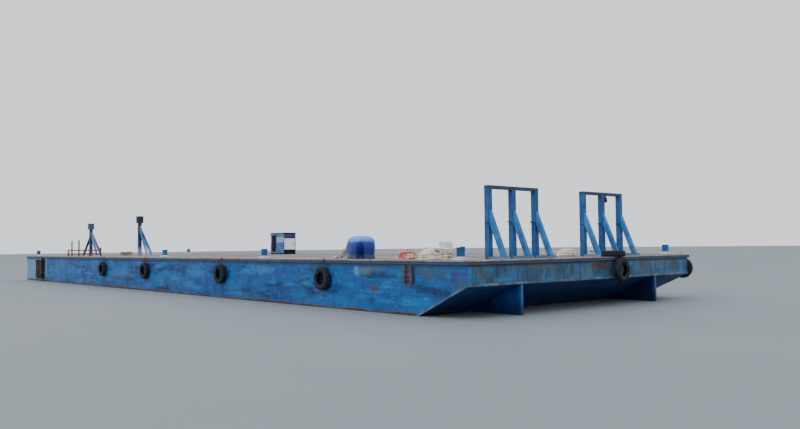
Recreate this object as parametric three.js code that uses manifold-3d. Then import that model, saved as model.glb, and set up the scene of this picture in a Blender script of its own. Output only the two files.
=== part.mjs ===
// A dumb flat-deck river barge, raked at the stern with two skegs, as a half-size model of the real one.
// Lengths below are real sizes in millimetres; the outer group scales the whole barge down to the model.
// +X points to the bow, +Y to port, +Z up. The origin is the middle of the flat bottom.
import * as THREE from "three";
import { mergeVertices } from "three/addons/utils/BufferGeometryUtils.js";
import Module from "manifold-3d";

const wasm = await Module();
wasm.setup();

const modelScale = 0.5;
const fitGap = 0.3 / modelScale;

const hull = {
  length: 54860,
  beam: 15240,
  depth: 3050,
  transomHeight: 910,
  sternRakeRun: 4700,
  bowPlateHeight: 2250,
  bowRakeRun: 2600,
};
const deck = { thickness: 30, railHeight: 130, railOverhang: 70 };
const edgeBar = { width: 90, thickness: 26 };
const skeg = { offset: 4700, thickness: 90, run: 4300, flangeWidth: 120, flangeThickness: 60, clearance: 0.8 };
const sternFrame = { fromTransom: 1750, offset: 3140, postSpacing: 1440, postSize: 225, height: 2930, beamDepth: 135 };
const sternBrace = { top: 1950, reach: 822, footWidth: 217, across: 170 };
const braceSill = { height: 110, width: 250, beyond: 60 };
const postStub = { height: 1500, length: 170, size: 60 };
const lamp = { radius: 70, bodyHeight: 240, hangerSize: 50, hangerHeight: 80, fromPost: 230, hangerInset: 20, sides: 16 };
const bowPost = { offset: 3140, size: 240, headSize: 430, headHeight: 540, headInset: 40, braceSize: 150 };
const bollard = { radius: 155, height: 490, capRadius: 170, capHeight: 40, fromEdge: 520, sides: 18 };
const pedestal = { size: 460, height: 110 };
const stringer = { width: 620, thickness: 24, inset: 70, endGap: 120 };
const tyre = { radius: 505, width: 290, holeRadius: 270, standOff: 32, steps: 20 };
const sternTyre = { offset: -1620, belowDeck: 560 };
const edgeTyre = { fromTransom: 200, offset: -1680 };
const ladder = { fromTransom: 3080, width: 400, railWidth: 110, railDepth: 55, drop: 680, standOff: 120 };
const ladderRung = { radius: 20, spacing: 190, first: 120, sides: 10 };
const ladderLug = { height: 50, fromEnd: 90 };
const bowFender = { fromBow: 4460, padLength: 700, gap: 200, thickness: 280, drop: 1700 };
const fenderBar = { height: 110, proud: 40, fromEnd: 200 };
const cargoRail = { offset: 6000, size: 90, barHeights: [190, 480], start: 40900, end: 48700 };
const hut = { fromTransom: 34050, offset: -6200, length: 1950, width: 1150, height: 1730, wall: 45, base: 90, eaves: 60 };
const hutDoor = { width: 640, height: 1320, fromFront: 200, sill: 120, gap: 12, thickness: 40 };
const machine = { fromTransom: 8170, offset: 6000, length: 1000, width: 760, height: 740, skidHeight: 120, blockInset: 60 };
const cover = { length: 1200, width: 960, height: 1040, thickness: 20, shoulder: 240 };
const hatch = { size: 720, coamingHeight: 260, wall: 40, lidThickness: 36, lidLip: 45, lidGap: 4, offset: 2600 };
const ropeRing = { edgeRound: 0.16, steps: 24 };

const sternX = -hull.length / 2;
const bowX = hull.length / 2;
const sideY = hull.beam / 2;
const deckZ = hull.depth;
const deckTop = deckZ + fitGap;
const sides = [
  ["port", 1],
  ["starboard", -1],
];

// Stations along the barge are distances forward of the transom.
const bollardStations = [840, 14600, 26500, 53300];
const sideTyres = {
  port: [
    { station: 8630, belowDeck: 820 },
    { station: 18000, belowDeck: 820 },
    { station: 28050, belowDeck: 820 },
    { station: 35450, belowDeck: 820 },
  ],
  starboard: [
    { station: 350, belowDeck: 640 },
    { station: 14500, belowDeck: 820 },
    { station: 28050, belowDeck: 820 },
    { station: 41500, belowDeck: 820 },
  ],
};
const hatchStations = [
  { name: "aft", x: 12000, side: -1 },
  { name: "fore", x: 44500, side: 1 },
];
const bowPostStations = [
  {
    name: "bow_post_aft",
    x: 40360,
    height: 3150,
    braces: [
      { height: 2250, alongX: -1600, alongY: 0 },
      { height: 2250, alongX: -1250, alongY: -520 },
    ],
  },
  {
    name: "bow_post_fore",
    x: 51600,
    height: 2900,
    braces: [
      { height: 2150, alongX: -1600, alongY: 0 },
      { height: 2150, alongX: -1250, alongY: -520 },
      { height: 1800, alongX: 2000, alongY: 0 },
    ],
  },
];
const cargoRailPosts = [
  { x: 40900, height: 700 },
  { x: 43400, height: 540 },
  { x: 45970, height: 1340 },
  { x: 47740, height: 1280 },
  { x: 48700, height: 540 },
];
const ropeCoils = [
  { name: "rope_coil_port_1", x: 2180, y: 6530, outer: 380, inner: 170, height: 750 },
  { name: "rope_coil_port_2", x: 3300, y: 6390, outer: 520, inner: 210, height: 420 },
  { name: "rope_coil_port_3", x: 4640, y: 6390, outer: 520, inner: 210, height: 420 },
  { name: "rope_coil_stern_1", x: 3300, y: -2500, outer: 520, inner: 210, height: 420 },
  { name: "rope_coil_stern_2", x: 3300, y: -4300, outer: 520, inner: 210, height: 420 },
];

const paint = {
  hullBlue: { color: 0x1f6cb0, roughness: 0.55, metalness: 0.0 },
  frameBlue: { color: 0x3474a8, roughness: 0.55, metalness: 0.0 },
  deckGrey: { color: 0x857a6c, roughness: 0.85, metalness: 0.0 },
  edgePale: { color: 0xa9a497, roughness: 0.7, metalness: 0.0 },
  rubber: { color: 0x17171a, roughness: 0.9, metalness: 0.0 },
  rust: { color: 0x7d4230, roughness: 0.9, metalness: 0.0 },
  hutWhite: { color: 0xd6dade, roughness: 0.5, metalness: 0.0 },
  hutBlue: { color: 0x24548c, roughness: 0.5, metalness: 0.0 },
  hutDark: { color: 0x15263d, roughness: 0.6, metalness: 0.0 },
  coverBlue: { color: 0x1d55a6, roughness: 0.8, metalness: 0.0 },
  machineGrey: { color: 0x55595c, roughness: 0.7, metalness: 0.2 },
  lampDark: { color: 0x1c2029, roughness: 0.4, metalness: 0.1 },
  ropeCream: { color: 0xc8bca0, roughness: 0.9, metalness: 0.0 },
};

const barge = new THREE.Group();
barge.scale.setScalar(modelScale);

// Solids and geometry helpers

function solidOf(geometry) {
  const bare = geometry.index ? geometry.toNonIndexed() : geometry.clone();
  bare.deleteAttribute("normal");
  bare.deleteAttribute("uv");
  const merged = mergeVertices(bare, 1e-3);
  return new wasm.Manifold(
    new wasm.Mesh({
      numProp: 3,
      vertProperties: merged.attributes.position.array,
      triVerts: new Uint32Array(merged.index.array),
    }),
  );
}

function geometryOf(solid) {
  const mesh = solid.getMesh();
  const geometry = new THREE.BufferGeometry();
  geometry.setAttribute("position", new THREE.BufferAttribute(mesh.vertProperties, 3));
  geometry.setIndex(new THREE.BufferAttribute(mesh.triVerts, 1));
  return geometry;
}

function joined(geometries) {
  return geometryOf(geometries.map(solidOf).reduce((whole, piece) => whole.add(piece)));
}

function cut(geometry, cutters) {
  return geometryOf(cutters.map(solidOf).reduce((whole, piece) => whole.subtract(piece), solidOf(geometry)));
}

function addNode(name, geometry, finish, parent = barge) {
  const mesh = new THREE.Mesh(geometry, new THREE.MeshStandardMaterial(finish));
  mesh.name = name;
  parent.add(mesh);
  return mesh;
}

// A box between two opposite corners, whichever of them is the lower.
function boxBetween(a, b) {
  const size = a.map((value, i) => Math.abs(b[i] - value));
  const middle = a.map((value, i) => (value + b[i]) / 2);
  return new THREE.BoxGeometry(...size).translate(...middle);
}

// An outline in X and Z, given thickness across the barge between two values of Y.
function sidePrism(points, lowY, highY) {
  const shape = new THREE.Shape(points.map(([x, z]) => new THREE.Vector2(x, z)));
  const prism = new THREE.ExtrudeGeometry(shape, { depth: highY - lowY, bevelEnabled: false });
  return prism.rotateX(Math.PI / 2).translate(0, highY, 0);
}

// An upright cylinder standing at a height.
function uprightCylinder(radius, height, x, y, z, sideCount) {
  const round = new THREE.CylinderGeometry(radius, radius, height, sideCount);
  return round.rotateX(Math.PI / 2).translate(x, y, z + height / 2);
}

// A square bar from one point to another, its sides turned so that one pair stays level.
function barBetween(start, end, size) {
  const from = new THREE.Vector3(...start);
  const along = new THREE.Vector3(...end).sub(from);
  const bar = new THREE.BoxGeometry(size, size, along.length()).translate(0, 0, along.length() / 2);
  const forward = along.clone().normalize();
  const level = new THREE.Vector3(0, 0, 1).cross(forward).normalize();
  const upward = forward.clone().cross(level);
  return bar.applyMatrix4(new THREE.Matrix4().makeBasis(level, upward, forward).setPosition(from));
}

// Keeps what lies above the deck.
function cutAtDeck(geometry) {
  const reach = hull.length;
  return cut(geometry, [boxBetween([-reach, -reach, deckTop - reach], [reach, reach, deckTop])]);
}

// Hull

const hullTop = deckZ - deck.thickness - fitGap;
const transomBottom = deckZ - hull.transomHeight;
const bowPlateBottom = deckZ - hull.bowPlateHeight;

function addHull() {
  const outline = [
    [sternX, hullTop],
    [sternX, transomBottom],
    [sternX + hull.sternRakeRun, 0],
    [bowX - hull.bowRakeRun, 0],
    [bowX, bowPlateBottom],
    [bowX, hullTop],
  ];
  addNode("hull", sidePrism(outline, -sideY, sideY), paint.hullBlue);
  const plate = boxBetween([sternX, -sideY, deckZ - deck.thickness], [bowX, sideY, deckZ]);
  addNode("deck_plate", plate, paint.deckGrey);
}

// The rubbing bar runs round the deck's edge, proud of the sides and ends.
function addDeckRail() {
  const low = deckZ - deck.railHeight;
  const out = deck.railOverhang;
  const bar = boxBetween([sternX - out, -sideY - out, low], [bowX + out, sideY + out, deckZ]);
  const within = boxBetween(
    [sternX - fitGap, -sideY - fitGap, low - out],
    [bowX + fitGap, sideY + fitGap, deckZ + out],
  );
  addNode("deck_rail", cut(bar, [within]), paint.hullBlue);
}

// Flat bars over the transom's lower knuckle and down the raked edges.
function addSternEdgeBars() {
  const t = edgeBar.thickness;
  const knuckle = boxBetween(
    [sternX - fitGap - t, -sideY, transomBottom],
    [sternX - fitGap, sideY, transomBottom + edgeBar.width],
  );
  addNode("transom_lower_bar", knuckle, paint.edgePale);
  const slope = new THREE.Vector2(hull.sternRakeRun, -transomBottom).normalize();
  const up = new THREE.Vector2(-slope.y, slope.x).multiplyScalar(edgeBar.width);
  const top = [sternX, transomBottom];
  const foot = [sternX + hull.sternRakeRun, 0];
  const outline = [top, foot, [foot[0] + up.x, foot[1] + up.y], [top[0] + up.x, top[1] + up.y]];
  for (const [name, side] of sides) {
    const [lowY, highY] = [side * (sideY + fitGap), side * (sideY + fitGap + t)].sort((a, b) => a - b);
    addNode(`rake_edge_bar_${name}`, sidePrism(outline, lowY, highY), paint.edgePale);
  }
}

// Each skeg is a flat plate under the stern rake, plumb with the transom, with a flange down its trailing edge.
function addSkegs() {
  const underRake = (x) => transomBottom * (1 - (x - sternX) / hull.sternRakeRun) - skeg.clearance;
  const tailX = sternX + skeg.clearance;
  const noseX = sternX + skeg.run;
  const flangeX = tailX + skeg.flangeThickness;
  const outline = [
    [tailX, underRake(tailX)],
    [tailX, 0],
    [noseX, 0],
    [noseX, underRake(noseX)],
  ];
  for (const [name, side] of sides) {
    const y = side * skeg.offset;
    const web = sidePrism(outline, y - skeg.thickness / 2, y + skeg.thickness / 2);
    const flange = boxBetween(
      [tailX, y - skeg.flangeWidth / 2, 0],
      [flangeX, y + skeg.flangeWidth / 2, underRake(flangeX)],
    );
    addNode(`skeg_${name}`, joined([web, flange]), paint.hullBlue);
  }
}

// Stern frames

const framePostX = sternX + sternFrame.fromTransom;

// A frame is three posts under one beam, with a short stub on the port side of two of the posts.
function addSternFrame(name, side) {
  const half = sternFrame.postSize / 2;
  const top = deckZ + sternFrame.height;
  const centre = side * sternFrame.offset;
  const rows = [1, 0, -1].map((step) => centre + step * sternFrame.postSpacing);
  const reach = sternFrame.postSpacing + half;
  const posts = rows.map((y) =>
    boxBetween([framePostX - half, y - half, deckTop], [framePostX + half, y + half, top]),
  );
  const beam = boxBetween(
    [framePostX - half, centre - reach, top - sternFrame.beamDepth],
    [framePostX + half, centre + reach, top],
  );
  const s = postStub.size / 2;
  const stubZ = deckZ + postStub.height;
  const stubs = rows.slice(1).map((y) =>
    boxBetween([framePostX - s, y, stubZ - s], [framePostX + s, y + half + postStub.length, stubZ + s]),
  );
  addNode(`stern_frame_${name}`, joined([...posts, beam, ...stubs]), paint.frameBlue);
  rows.forEach((y, i) => addSternBrace(`stern_brace_${name}_${i + 1}`, y));
}

// A brace slopes from a post down towards the transom, and its foot stands on a sill that reaches back to the post.
function addSternBrace(name, y) {
  const { top, reach, footWidth, across } = sternBrace;
  const faceX = framePostX - sternFrame.postSize / 2 - fitGap;
  const outline = [
    [faceX, deckTop + top],
    [faceX - reach, deckTop],
    [faceX - reach + footWidth, deckTop],
    [faceX, deckTop + top - (footWidth * top) / reach],
  ];
  const slope = sidePrism(outline, y - across / 2, y + across / 2);
  const sill = boxBetween(
    [faceX - reach - braceSill.beyond, y - braceSill.width / 2, deckTop],
    [faceX, y + braceSill.width / 2, deckTop + braceSill.height],
  );
  addNode(name, joined([slope, sill]), paint.frameBlue);
}

// The lamp hangs under the starboard frame's beam, beside its middle post.
function addSternLamp() {
  const y = -sternFrame.offset - sternFrame.postSize / 2 - lamp.fromPost;
  const beamLow = deckZ + sternFrame.height - sternFrame.beamDepth - fitGap;
  const bodyTop = beamLow - lamp.hangerHeight;
  const h = lamp.hangerSize / 2;
  const hanger = boxBetween(
    [framePostX - h, y - h, bodyTop - lamp.hangerInset],
    [framePostX + h, y + h, beamLow],
  );
  const body = uprightCylinder(lamp.radius, lamp.bodyHeight, framePostX, y, bodyTop - lamp.bodyHeight, lamp.sides);
  addNode("stern_lamp", joined([hanger, body]), paint.lampDark);
}

// Bow posts

// A bow post carries a square head, and its braces run from the post down to the deck.
function addBowPost(station) {
  const x = sternX + station.x;
  const y = bowPost.offset;
  const half = bowPost.size / 2;
  const headHalf = bowPost.headSize / 2;
  const top = deckZ + station.height;
  const post = boxBetween([x - half, y - half, deckTop], [x + half, y + half, top - bowPost.headInset]);
  const head = boxBetween(
    [x - headHalf, y - headHalf, top - bowPost.headHeight],
    [x + headHalf, y + headHalf, top],
  );
  // Each bar runs on a little below the deck, and is then cut level with it.
  const runOn = 1.15;
  const braces = station.braces.map(({ height, alongX, alongY }) => {
    const start = [x, y, deckZ + height];
    const end = [x + alongX * runOn, y + alongY * runOn, deckZ + height * (1 - runOn)];
    return cutAtDeck(barBetween(start, end, bowPost.braceSize));
  });
  addNode(station.name, joined([post, head, ...braces]), paint.frameBlue);
}

// Deck edge fittings

// A bollard is a round post with a low cap on a square pedestal.
function bollardPieces(x, y) {
  const capLow = deckTop + bollard.height - bollard.capHeight;
  const half = pedestal.size / 2;
  return [
    boxBetween([x - half, y - half, deckTop], [x + half, y + half, deckTop + pedestal.height]),
    uprightCylinder(bollard.radius, bollard.height - bollard.capHeight / 2, x, y, deckTop, bollard.sides),
    uprightCylinder(bollard.capRadius, bollard.capHeight, x, y, capLow, bollard.sides),
  ];
}

// The bollards stand on a doubling strip along each edge of the deck.
function addBollardStrip(name, side) {
  const outer = side * (sideY - stringer.inset);
  const inner = side * (sideY - stringer.inset - stringer.width);
  const strip = boxBetween(
    [sternX + stringer.endGap, inner, deckTop],
    [bowX - stringer.endGap, outer, deckTop + stringer.thickness],
  );
  const y = side * (sideY - bollard.fromEdge);
  const posts = bollardStations.flatMap((station) => bollardPieces(sternX + station, y));
  addNode(`bollard_strip_${name}`, joined([strip, ...posts]), paint.edgePale);
}

// The cargo rail is a row of uneven stanchions with two low bars between them.
function addCargoRail() {
  const half = cargoRail.size / 2;
  const y = cargoRail.offset;
  const posts = cargoRailPosts.map(({ x, height }) =>
    boxBetween([sternX + x - half, y - half, deckTop], [sternX + x + half, y + half, deckTop + height]),
  );
  const bars = cargoRail.barHeights.map((height) =>
    boxBetween(
      [sternX + cargoRail.start, y - half / 2, deckZ + height - half],
      [sternX + cargoRail.end, y + half / 2, deckZ + height + half],
    ),
  );
  addNode("cargo_rail", joined([...posts, ...bars]), paint.rust);
}

// Tyres

// A tyre as a ring with rounded shoulders, its axis along Z and centred on the origin.
function tyreRing() {
  const half = tyre.width / 2;
  const { radius, holeRadius } = tyre;
  const bead = holeRadius + 60;
  const shoulder = radius - 40;
  const wall = radius - 150;
  const upper = [
    [radius, half * 0.45],
    [shoulder, half * 0.8],
    [wall, half],
    [bead, half * 0.9],
    [holeRadius, half * 0.55],
  ];
  const lower = upper.map(([r, z]) => [r, -z]).reverse();
  const profile = [...lower, ...upper, lower[0]].map(([r, z]) => new THREE.Vector2(r, z));
  return new THREE.LatheGeometry(profile, tyre.steps).rotateX(Math.PI / 2);
}

function addTyre(name, x, y, z, axis) {
  const mesh = addNode(name, tyreRing(), paint.rubber);
  mesh.position.set(x, y, z);
  if (axis === "y") mesh.rotation.x = Math.PI / 2;
  if (axis === "x") mesh.rotation.y = Math.PI / 2;
}

function addTyres() {
  const away = tyre.width / 2 + tyre.standOff;
  for (const [name, side] of sides) {
    sideTyres[name].forEach(({ station, belowDeck }, i) => {
      addTyre(`tyre_${name}_${i + 1}`, sternX + station, side * (sideY + away), deckZ - belowDeck, "y");
    });
  }
  addTyre("tyre_stern", sternX - deck.railOverhang - away, sternTyre.offset, deckZ - sternTyre.belowDeck, "x");
  addTyre("tyre_stern_edge", sternX + edgeTyre.fromTransom, edgeTyre.offset, deckTop + tyre.width / 2, "z");
}

// The side ladder is two flat rails with rungs, standing off the port side under the rubbing bar.
function addLadder() {
  const x = sternX + ladder.fromTransom;
  const outer = sideY + ladder.standOff;
  const inner = outer - ladder.railDepth;
  const top = deckZ - deck.railHeight - ladderLug.height;
  const low = top - ladder.drop;
  const rails = [-1, 1].flatMap((end) => {
    const aft = x + (end * ladder.width) / 2 - ladder.railWidth / 2;
    const fore = aft + ladder.railWidth;
    const lugs = [low + ladderLug.fromEnd, top - ladderLug.fromEnd].map((z) =>
      boxBetween([aft, sideY + fitGap, z], [fore, inner + ladder.railDepth / 2, z + ladderLug.height]),
    );
    return [boxBetween([aft, inner, low], [fore, outer, top]), ...lugs];
  });
  const rungCount = Math.floor((ladder.drop - ladderRung.first) / ladderRung.spacing) + 1;
  const rungs = Array.from({ length: rungCount }, (_, i) => {
    const rung = new THREE.CylinderGeometry(ladderRung.radius, ladderRung.radius, ladder.width, ladderRung.sides);
    return rung.rotateZ(Math.PI / 2).translate(x, (inner + outer) / 2, low + ladderRung.first + ladderRung.spacing * i);
  });
  addNode("side_ladder", joined([...rails, ...rungs]), paint.rust);
}

// Two upright rubber pads at each bow quarter, tied together by a bar near the top and one near the foot.
function addBowFender(name, side) {
  const middle = bowX - bowFender.fromBow;
  const top = deckZ - deck.railHeight - fitGap;
  const low = top - bowFender.drop;
  const inner = sideY + fitGap;
  const outer = inner + bowFender.thickness;
  const reach = bowFender.gap / 2 + bowFender.padLength;
  const pads = [-1, 1].map((end) =>
    boxBetween([middle + (end * bowFender.gap) / 2, side * inner, low], [middle + end * reach, side * outer, top]),
  );
  const bars = [low + fenderBar.fromEnd, top - fenderBar.fromEnd - fenderBar.height].map((z) =>
    boxBetween(
      [middle - reach, side * inner, z],
      [middle + reach, side * (outer + fenderBar.proud), z + fenderBar.height],
    ),
  );
  addNode(`bow_fender_${name}`, joined([...pads, ...bars]), paint.rubber);
}

// Hut

// The hut's group has its origin at the middle of its floor. The doorway is in the port wall, towards the bow.
function addHut() {
  const group = new THREE.Group();
  group.position.set(sternX + hut.fromTransom, hut.offset, deckTop);
  barge.add(group);
  const l = hut.length / 2;
  const w = hut.width / 2;
  const t = hut.wall;
  const wallLow = hut.base + fitGap;
  const wallTop = hut.height - t - fitGap;
  const endWall = w - t - fitGap;
  const doorFore = l - hutDoor.fromFront;
  const doorAft = doorFore - hutDoor.width;
  const doorLow = hut.base + hutDoor.sill;
  const doorTop = doorLow + hutDoor.height;

  addNode("hut_base", boxBetween([-l, -w, 0], [l, w, hut.base]), paint.hutDark, group);
  const portWall = boxBetween([-l, w - t, wallLow], [l, w, wallTop]);
  const doorway = boxBetween([doorAft, w - 2 * t, doorLow], [doorFore, w + t, doorTop]);
  addNode("hut_port_wall", cut(portWall, [doorway]), paint.hutBlue, group);
  addNode("hut_starboard_wall", boxBetween([-l, -w, wallLow], [l, -w + t, wallTop]), paint.hutBlue, group);
  addNode("hut_fore_wall", boxBetween([l - t, -endWall, wallLow], [l, endWall, wallTop]), paint.hutBlue, group);
  addNode("hut_aft_wall", boxBetween([-l, -endWall, wallLow], [-l + t, endWall, wallTop]), paint.hutWhite, group);
  const roof = boxBetween(
    [-l - hut.eaves, -w - hut.eaves, wallTop + fitGap],
    [l + hut.eaves, w + hut.eaves, hut.height],
  );
  addNode("hut_roof", roof, paint.hutDark, group);
  const leaf = boxBetween(
    [doorAft + hutDoor.gap, w - hutDoor.thickness, doorLow + hutDoor.gap],
    [doorFore - hutDoor.gap, w, doorTop - hutDoor.gap],
  );
  addNode("hut_door", leaf, paint.hutDark, group);
}

// Deck machine under its cover

function addMachine() {
  const x = sternX + machine.fromTransom;
  const y = machine.offset;
  const l = machine.length / 2;
  const w = machine.width / 2;
  const inset = machine.blockInset;
  const skid = boxBetween([x - l, y - w, deckTop], [x + l, y + w, deckTop + machine.skidHeight]);
  const block = boxBetween(
    [x - l + inset, y - w + inset, deckTop + machine.skidHeight / 2],
    [x + l - inset, y + w - inset, deckTop + machine.height],
  );
  addNode("deck_machine", joined([skid, block]), paint.machineGrey);
}

// The cover is a thin shell, open below, whose ends lean in and whose top has two sloping shoulders.
function addMachineCover() {
  const x = sternX + machine.fromTransom;
  const y = machine.offset;
  const l = cover.length / 2;
  const w = cover.width / 2;
  const t = cover.thickness;
  const top = deckTop + cover.height;
  const half = [
    [l, deckTop],
    [l * 0.94, top - cover.shoulder],
    [l * 0.55, top],
  ];
  const outline = [...half, ...half.map(([along, z]) => [-along, z]).reverse()];
  const outer = outline.map(([along, z]) => [x + along, z]);
  const inner = outline.map(([along, z]) => [x + along * (1 - t / l), z - t]);
  const shell = cut(sidePrism(outer, y - w, y + w), [sidePrism(inner, y - w + t, y + w - t)]);
  addNode("machine_cover", shell, paint.coverBlue);
}

// Access hatches: a square coaming with a lid hinged along its forward edge.
function addHatch({ name, x: station, side }) {
  const x = sternX + station;
  const y = side * hatch.offset;
  const half = hatch.size / 2;
  const inner = half - hatch.wall;
  const lidHalf = half + hatch.lidLip;
  const top = deckTop + hatch.coamingHeight;
  const lidLow = top + hatch.lidGap;
  const box = boxBetween([x - half, y - half, deckTop], [x + half, y + half, top]);
  const well = boxBetween([x - inner, y - inner, deckTop - hatch.wall], [x + inner, y + inner, top + hatch.wall]);
  addNode(`hatch_coaming_${name}`, cut(box, [well]), paint.deckGrey);
  const lid = boxBetween(
    [x - lidHalf, y - lidHalf, lidLow],
    [x + lidHalf, y + lidHalf, lidLow + hatch.lidThickness],
  );
  addNode(`hatch_lid_${name}`, lid, paint.deckGrey);
}

// Each coil of mooring rope is a plain ring with softened edges.
function addRopeCoil({ name, x, y, outer, inner, height }) {
  const edge = ropeRing.edgeRound * height;
  const points = [
    [inner, edge],
    [inner + edge, 0],
    [outer - edge, 0],
    [outer, edge],
    [outer, height - edge],
    [outer - edge, height],
    [inner + edge, height],
    [inner, height - edge],
  ];
  const profile = [...points, points[0]].map(([r, z]) => new THREE.Vector2(r, z));
  const ring = new THREE.LatheGeometry(profile, ropeRing.steps).rotateX(Math.PI / 2);
  const mesh = addNode(name, ring, paint.ropeCream);
  mesh.position.set(sternX + x, y, deckTop);
}

addHull();
addDeckRail();
addSternEdgeBars();
addSkegs();
for (const [name, side] of sides) {
  addSternFrame(name, side);
  addBollardStrip(name, side);
  addBowFender(name, side);
}
addSternLamp();
bowPostStations.forEach(addBowPost);
addCargoRail();
addTyres();
addLadder();
addHut();
addMachine();
addMachineCover();
hatchStations.forEach(addHatch);
ropeCoils.forEach(addRopeCoil);

export default barge;
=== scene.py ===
# River deck barge at half size: ropes, tyres, cover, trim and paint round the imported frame. Metres, +Z up.
import math
import bmesh
import bpy
import numpy as np
from mathutils import Matrix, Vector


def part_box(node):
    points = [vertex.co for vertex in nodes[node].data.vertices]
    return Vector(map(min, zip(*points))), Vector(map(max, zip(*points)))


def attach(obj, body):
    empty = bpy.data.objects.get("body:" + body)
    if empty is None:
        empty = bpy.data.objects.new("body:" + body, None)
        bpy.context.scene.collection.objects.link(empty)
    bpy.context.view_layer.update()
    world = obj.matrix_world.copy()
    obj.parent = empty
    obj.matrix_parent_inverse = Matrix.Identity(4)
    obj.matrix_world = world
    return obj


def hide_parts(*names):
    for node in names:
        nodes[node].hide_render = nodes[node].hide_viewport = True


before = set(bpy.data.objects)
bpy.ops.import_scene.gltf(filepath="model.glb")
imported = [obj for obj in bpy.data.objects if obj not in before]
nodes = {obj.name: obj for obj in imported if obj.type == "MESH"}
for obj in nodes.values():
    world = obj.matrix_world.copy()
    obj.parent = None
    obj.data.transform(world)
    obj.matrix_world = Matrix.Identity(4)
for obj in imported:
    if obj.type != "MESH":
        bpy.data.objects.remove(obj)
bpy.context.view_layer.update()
fullTurn = 2 * math.pi
waterline = 0.482  # height of the floor: the barge floats there
deckTop = 1.5253  # top face of the deck plate
sideY = 3.81  # port side of the hull
transomX = -13.715

cameraSettings = {
    "place": (-22.921, 13.356, 1.805),
    "yaw": -40.958,  # degrees from +X, turning to starboard
    "pitch": 2.40,
    "roll": -0.619,
    "lens": 33.84,
    "sensor": 36.0,
    "clip": (0.1, 600),
}


def putInScene(name, data, place=None, ways=None):
    # a new object at place, turned so that its own x, y and z run along the three ways
    item = bpy.data.objects.new(name, data)
    if ways:
        item.matrix_world = Matrix.Translation(place) @ Matrix(ways).transposed().to_4x4()
    bpy.context.scene.collection.objects.link(item)
    return item


def makeCamera(settings):
    yaw, pitch, roll = (math.radians(settings[k]) for k in ("yaw", "pitch", "roll"))
    ahead = np.array([math.cos(pitch) * math.cos(yaw), math.cos(pitch) * math.sin(yaw), math.sin(pitch)])
    level = np.array([math.sin(yaw), -math.cos(yaw), 0.0])
    above = np.cross(level, ahead)
    right = math.cos(roll) * level + math.sin(roll) * above
    up = math.cos(roll) * above - math.sin(roll) * level
    data = bpy.data.cameras.new("photoCamera")
    data.sensor_fit = "HORIZONTAL"
    data.sensor_width = settings["sensor"]
    data.lens = settings["lens"]
    data.clip_start, data.clip_end = settings["clip"]
    bpy.context.scene.camera = putInScene("photoCamera", data, settings["place"], (right, up, -ahead))


makeCamera(cameraSettings)
print("camera placed")


def unit(vectors):
    return vectors / np.linalg.norm(vectors, axis=-1, keepdims=True)


def smoothStep(low, high, values):
    t = np.clip((values - low) / (high - low), 0, 1)
    return t * t * (3 - 2 * t)


def stepsRound(count):
    # angles of count even steps of a full turn
    return np.arange(count) * fullTurn / count


def walk(path):
    # length walked along a path up to each of its points
    return np.concatenate([[0], np.cumsum(np.linalg.norm(np.diff(path, axis=0), axis=1))])


def soften(rows, passes):
    # each row = a quarter of the one before + half of itself + a quarter of the next, and so on
    for _ in range(passes):
        rows[1:-1] = (rows[:-2] + 2 * rows[1:-1] + rows[2:]) / 4


def boxOf(name):
    # low corner, high corner and middle of a CAD node
    low, high = (np.array(corner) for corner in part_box(name))
    return low, high, (low + high) / 2


# Shapes: each is (points, faces), with points in metres in the barge's frame
def gridFaces(rows, cols, closeRows=False, closeCols=False):
    # quads between neighbours of a grid numbered row by row
    i, j = np.meshgrid(np.arange(rows if closeRows else rows - 1),
                       np.arange(cols if closeCols else cols - 1), indexing="ij")
    downI, nextJ = (i + 1) % rows, (j + 1) % cols
    quads = np.stack([i * cols + j, i * cols + nextJ, downI * cols + nextJ, downI * cols + j], -1)
    return quads.reshape(-1, 4).tolist()


def tube(path, radius, around=10, closed=False, up=(0, 0, 1)):
    # point = path + radius (cos a side + sin a over), side = tangent x up, over = side x tangent
    path = np.asarray(path, float)
    count = len(path)
    if closed:
        tangent = unit(np.roll(path, -1, 0) - np.roll(path, 1, 0))
    else:
        tangent = unit(np.gradient(path, axis=0))
    side = unit(np.cross(tangent, np.asarray(up, float)))
    over = np.cross(side, tangent)
    a = stepsRound(around)[None, :, None]
    points = (path[:, None] + radius * (np.cos(a) * side[:, None] + np.sin(a) * over[:, None])).reshape(-1, 3)
    faces = gridFaces(count, around, closed, True)
    if not closed:  # fans of triangles close both ends
        k = np.arange(around)
        nextK = (k + 1) % around
        last = (count - 1) * around
        start, end = np.full(around, len(points)), np.full(around, len(points) + 1)
        points = np.concatenate([points, path[:1], path[-1:]])
        faces += np.stack([start, nextK, k], 1).tolist() + np.stack([end, last + k, last + nextK], 1).tolist()
    return points, faces


def bar(start, end, width, depth, rounding=0.15, up=(0, 0, 1)):
    # from start to end: a rectangle width x depth with chamfered corners, its ends drawn in by the chamfer;
    # its depth lies along up, as near as that can be
    start, end = np.asarray(start, float), np.asarray(end, float)
    along = unit(end - start)
    side = unit(np.cross(along, np.asarray(up, float)))
    over = np.cross(side, along)
    cut = rounding * min(width, depth)
    w, d = width / 2, depth / 2
    corner = np.array([[w, d - cut], [w - cut, d], [cut - w, d], [-w, d - cut],
                       [-w, cut - d], [cut - w, -d], [w - cut, -d], [w, cut - d]])
    inner = corner * np.array([(w - cut) / w, (d - cut) / d])
    rings = [(start, inner), (start + along * cut, corner), (end - along * cut, corner), (end, inner)]
    points = np.concatenate([at + ring[:, :1] * side + ring[:, 1:] * over for at, ring in rings])
    firstRing = list(range(len(corner)))
    lastRing = [len(points) - len(corner) + i for i in firstRing]
    return points, gridFaces(len(rings), len(corner), False, True) + [firstRing, lastRing]


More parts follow.
